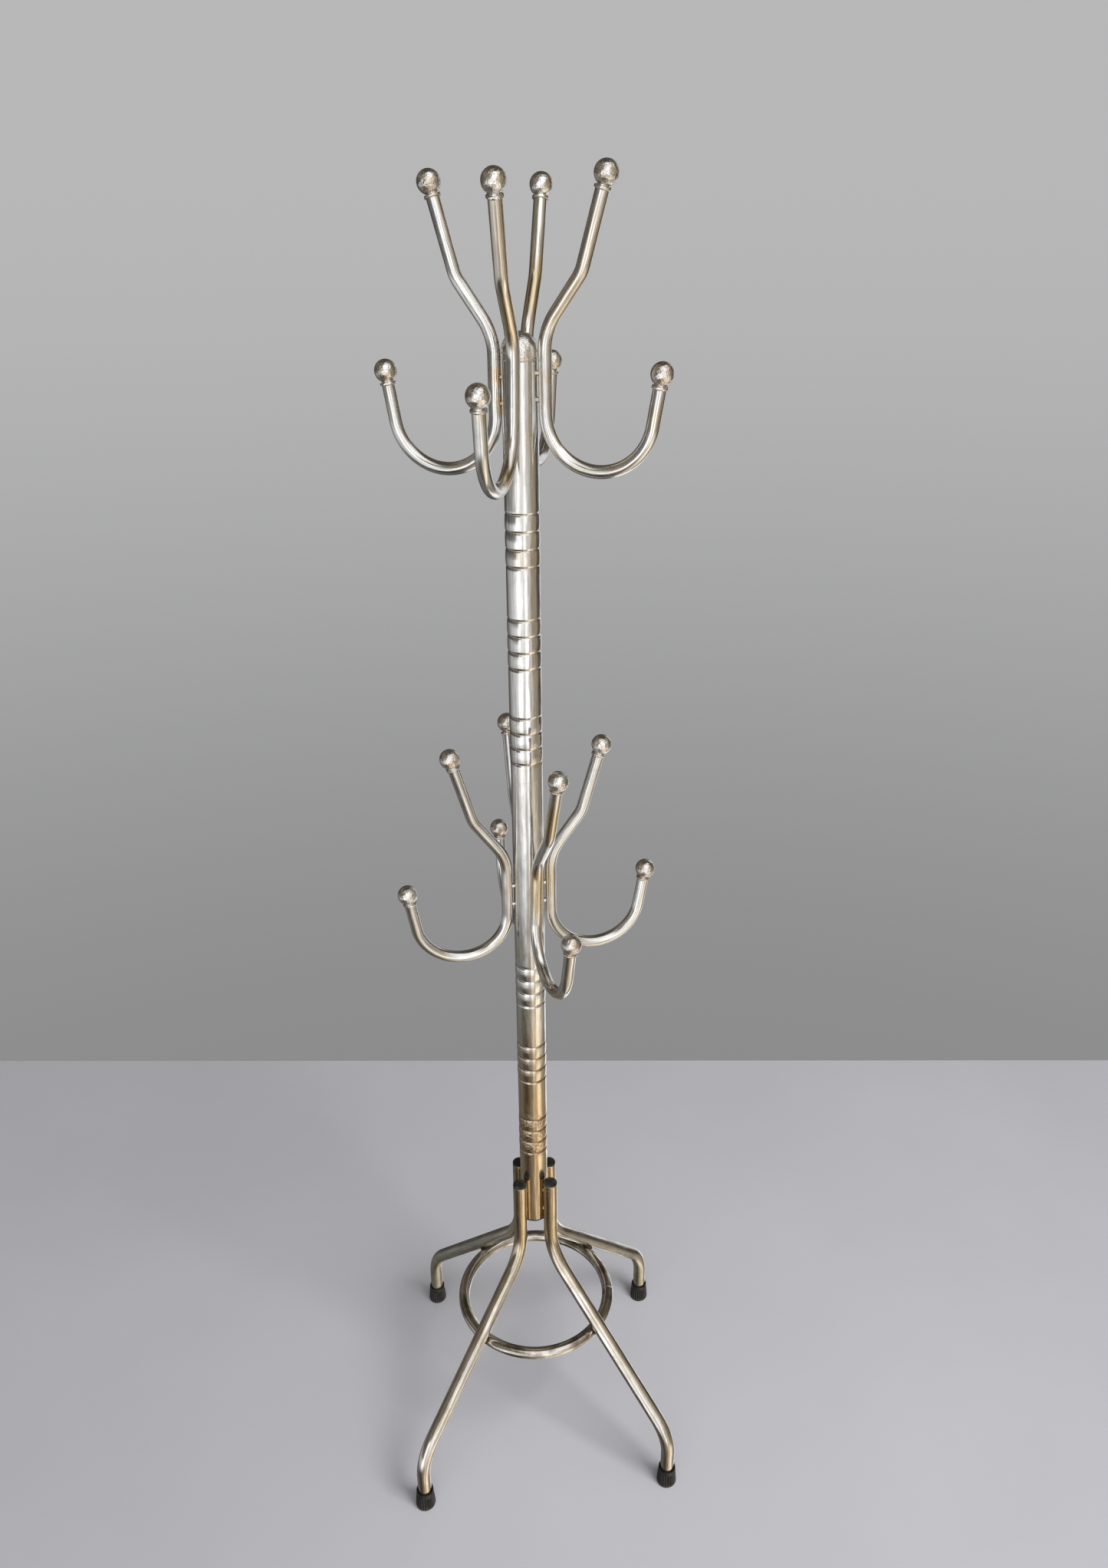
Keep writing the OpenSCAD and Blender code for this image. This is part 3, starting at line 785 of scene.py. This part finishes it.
def make_hook(tier, k, tube_metal, ball_metal):
    """A hook's bent tube and the ball knobs at the ends of its arm and its curl."""
    line = hook_line(tier, k)
    arm, curl = length_of(ARM_STEPS), length_of(CURL_STEPS)
    name = f"{tier}_hook_{k + 1}"
    make_piece(name + "_tube", [tube(line, -curl, arm, HOOK_R, 64, 0.0025)], tube_metal,
               name)
    outline = ball_outline()
    arm_knob = solid(line, outline + (arm, 0), 64)
    curl_knob = solid(line, (outline * (-1, 1) - (curl, 0))[::-1], 64)
    make_piece(f"{tier}_arm_knob_{k + 1}", [arm_knob], ball_metal,
               f"{tier}_arm_ball_{k + 1}")
    make_piece(f"{tier}_curl_knob_{k + 1}", [curl_knob], ball_metal,
               f"{tier}_curl_ball_{k + 1}")


def stud_outline(gap, tube_r):
    """Head, shank, shoulder and end of a stud, measured from the post's axis.  The rim of a head
    or a shoulder, of radius r, touches a round wall of radius R at sqrt(R^2 - r^2) from the
    wall's axis."""
    seat = math.sqrt((POST_R - TUBE_WALL) ** 2 - STUD_HEAD_R ** 2)
    end = POST_R + gap + TUBE_WALL + STUD_END
    shoulder_end = POST_R + gap + tube_r - math.sqrt(tube_r ** 2 - STUD_SHOULDER_R ** 2)
    shoulder = math.sqrt(POST_R ** 2 - STUD_SHOULDER_R ** 2)
    return rounded([(seat - STUD_HEAD_H, 0), (seat - STUD_HEAD_H, STUD_HEAD_R),
                    (seat, STUD_HEAD_R), (seat, STUD_R), (shoulder, STUD_R),
                    (shoulder, STUD_SHOULDER_R), (shoulder_end, STUD_SHOULDER_R),
                    (shoulder_end, STUD_R), (end, STUD_R), (end, 0)], 0.0003)


def make_hook_studs(tier, metal):
    """Two studs for each hook of a tier, half their pitch above and below the hook's middle."""
    surfaces = []
    outline = stud_outline(HOOK_GAP, HOOK_R)
    for k in range(4):
        turn, place = hook_turn(tier, k)
        for side in (-0.5, 0.5):
            at = place + turn[:, 2] * side * HOOK_STUD_PITCH
            surfaces.append(solid(radial_line(turn, at), outline, 32))
    make_piece(f"{tier}_stud_set", surfaces, metal, f"{tier}_hook_studs")


def make_leg_studs(metal):
    """Two studs for each leg, one above the other, straight out from the post."""
    surfaces = []
    outline = stud_outline(LEG_GAP, LEG_R)
    for bearing in LEG_BEARINGS:
        for n in (0, 1):
            at = np.array([0, 0, POST_BOTTOM + LEG_STUD_RISE + n * LEG_STUD_PITCH])
            surfaces.append(solid(radial_line(turned_about(2, bearing), at), outline, 32))
    make_piece("leg_stud_set", surfaces, metal, "leg_studs")


def make_leg(k, metal, plastic, rubber):
    """A leg's bent tube, the plug in its upper end and the foot under its lower end."""
    number = k + 1
    line = leg_line(k)
    make_piece(f"leg_{number}_tube", [tube(line, 0, length_of(LEG_STEPS), LEG_R, 72, 0.0025)],
               metal, f"leg_{number}")
    spigot_r = LEG_R - TUBE_WALL - PLAY
    crown = 0.0008
    plug = rounded([(-LEG_PLUG_SPIGOT, 0), (-LEG_PLUG_SPIGOT, spigot_r), (0, spigot_r),
                    (0, LEG_R), (LEG_PLUG_HEAD - crown, LEG_R), (LEG_PLUG_HEAD, LEG_R * 0.7),
                    (LEG_PLUG_HEAD, 0)], 0.0007)
    x, y, _ = turned_about(2, LEG_BEARINGS[k]) @ (LEG_AXIS_R, 0, 0)
    make_piece(f"leg_{number}_top_plug", [solid(upright(x, y, LEG_TOP), plug, 64)], plastic,
               f"leg_plug_{number}")
    make_foot(k, rubber)


def make_foot(k, rubber):
    """A cup of rubber: a cone with rounded edges.  Its outside swells and sinks RIBS times on the
    way round, as the square of a cosine, and the swelling fades out at the top and bottom."""
    top_r, hole = LEG_R + FOOT_LIP, LEG_R + PLAY
    edge = arc((FOOT_EDGE, FOOT_R - FOOT_EDGE), FOOT_EDGE, 180, 90, 6)
    side = np.linspace(edge[-1], (FOOT_H - 0.001, top_r), 24)[1:]
    lip = rounded([side[-1], (FOOT_H, top_r), (FOOT_H, hole), (FOOT_H - 0.004, hole)], 0.0009)[1:]
    outline = np.concatenate([[(0, 0)], edge, side, lip, [(FOOT_FLOOR, hole), (FOOT_FLOOR, 0)]])
    around = RIBS * 8
    s, r = outline[:, 0], outline[:, 1]
    outside = np.arange(len(s)) < 1 + len(edge) + len(side)
    fade = np.clip((s - RIBS_LOW) / 0.003, 0, 1) * np.clip((RIBS_HIGH - s) / 0.001, 0, 1) * outside
    angle = np.arange(around) * math.tau / around
    wave = np.sin(angle * RIBS / 2) ** 2
    radii = r[:, None] - RIB_DEPTH * fade[:, None] * wave
    x, y, _ = turned_about(2, LEG_BEARINGS[k]) @ (FOOT_AXIS_R, 0, 0)
    surface = (*carried(upright(x, y, 0), s, radii, around), False)
    make_piece(f"foot_{k + 1}_cup", [surface], rubber, f"foot_{k + 1}")


def make_ring(metal):
    """A closed hoop of tube: a round section carried once round the ring's circle."""
    rows = 280
    s = np.arange(rows) * math.tau * RING_R / rows
    surface = (*carried(ring_line, s, np.full(rows, RING_TUBE_R), 56), True)
    make_piece("base_hoop", [surface], metal, "base_ring")


def make_welds(metal):
    """Four lumpy beads.  Each is a flattened ball whose radius is multiplied by 1 plus a few
    sine ripples in its two angles, squashed along the way from the ring to the leg."""
    turn_down = turned_about(1, -math.degrees(leg_slope))
    v, u = np.meshgrid(np.linspace(0, math.pi, 29), np.arange(48) * math.tau / 48, indexing="ij")
    ball = np.stack([np.cos(v), np.sin(v) * np.cos(u), np.sin(v) * np.sin(u)], 2)
    fade = np.sin(v)
    surfaces = []
    for k, bearing in enumerate(LEG_BEARINGS):
        ripple = 1 + fade * (0.10 * np.sin(5 * u + k) + 0.07 * np.sin(3 * v * 2 + 3 * u + 2 * k))
        half_axes = (0.0035, 0.0085, 0.0075)
        grid = ball * ripple[..., None] * half_axes + (RING_TUBE_R + WELD_GAP / 2, 0, 0)
        grid = grid @ turn_down.T + (RING_R, 0, RING_Z)
        surfaces.append((grid @ turned_about(2, bearing).T, grid * 1.0, False))
    make_piece("ring_weld_beads", surfaces, metal, "ring_welds", 60)


def make_floor(paint):
    """A flat floor that ends behind the rack, where the backdrop begins."""
    side, front, back = 2.2, -2.4, 0.80
    corners = np.array([(-side, front, 0), (side, front, 0), (side, back, 0), (-side, back, 0)])
    corners = corners @ turned_about(2, FLOOR_TURN).T
    mesh = bpy.data.meshes.new("floor")
    mesh.from_pydata(corners.tolist(), [], [(0, 1, 2, 3)])
    mesh.materials.append(paint)
    floor = bpy.data.objects.new("floor", mesh)
    bpy.context.scene.collection.objects.link(floor)
    floor.visible_glossy = False


def point_on_hook(tier, k, s, out=0.0):
    """A point of a hook's middle line, moved out from it by a distance away from the post."""
    points, normals, _ = hook_line(tier, k)(np.array([s]))
    return points[0] + normals[0] * out


make_world()
make_softbox("key_light", (1.3, -1.2, 2.6), (0, 0, 0.5), (1.0, 1.0), 42, (1, 0.98, 0.95))
make_floor(floor_paint())

# Places on the hooks where a golden reflection is painted, each with its reach and strength.
painted_gold_reflections = [(point_on_hook(tier, k, s), reach, amount) for tier, k, s, reach, amount in (
    ("upper", 3, 0.085, 0.050, 0.6), ("upper", 3, 0.170, 0.080, 0.4),
    ("upper", 3, -0.090, 0.030, 0.8), ("upper", 1, 0.100, 0.050, 0.8),
    ("upper", 0, 0.120, 0.110, 0.35), ("lower", 3, 0.020, 0.050, 0.8),
    ("lower", 3, 0.150, 0.040, 0.7), ("lower", 3, -0.150, 0.040, 0.6))]
rusted = [point_on_hook("upper", 2, side * HOOK_STUD_PITCH / 2, -HOOK_R) + (0.0005, -0.002, 0)
          for side in (-1, 1)]
plated, hooks_plated, balls_plated = post_chrome(), hook_chrome(painted_gold_reflections, rusted), ball_chrome()
legs_plated = leg_chrome("leg_chrome", 1.0, 0.15)
hoop_plated = leg_chrome("hoop_chrome", 0.0, 0.6)
steel, scorched = stud_steel(), weld_steel()
plastic, rubber = plug_plastic(), foot_rubber()

make_post(plated)
make_cap(balls_plated)
make_post_plug(plastic)
for tier in TIERS:
    make_hook_studs(tier, steel)
    for k in range(4):
        make_hook(tier, k, hooks_plated, balls_plated)
make_leg_studs(steel)
for k in range(4):
    make_leg(k, legs_plated, plastic, rubber)
make_ring(hoop_plated)
make_welds(scorched)

bpy.context.scene.view_settings.view_transform = "Standard"
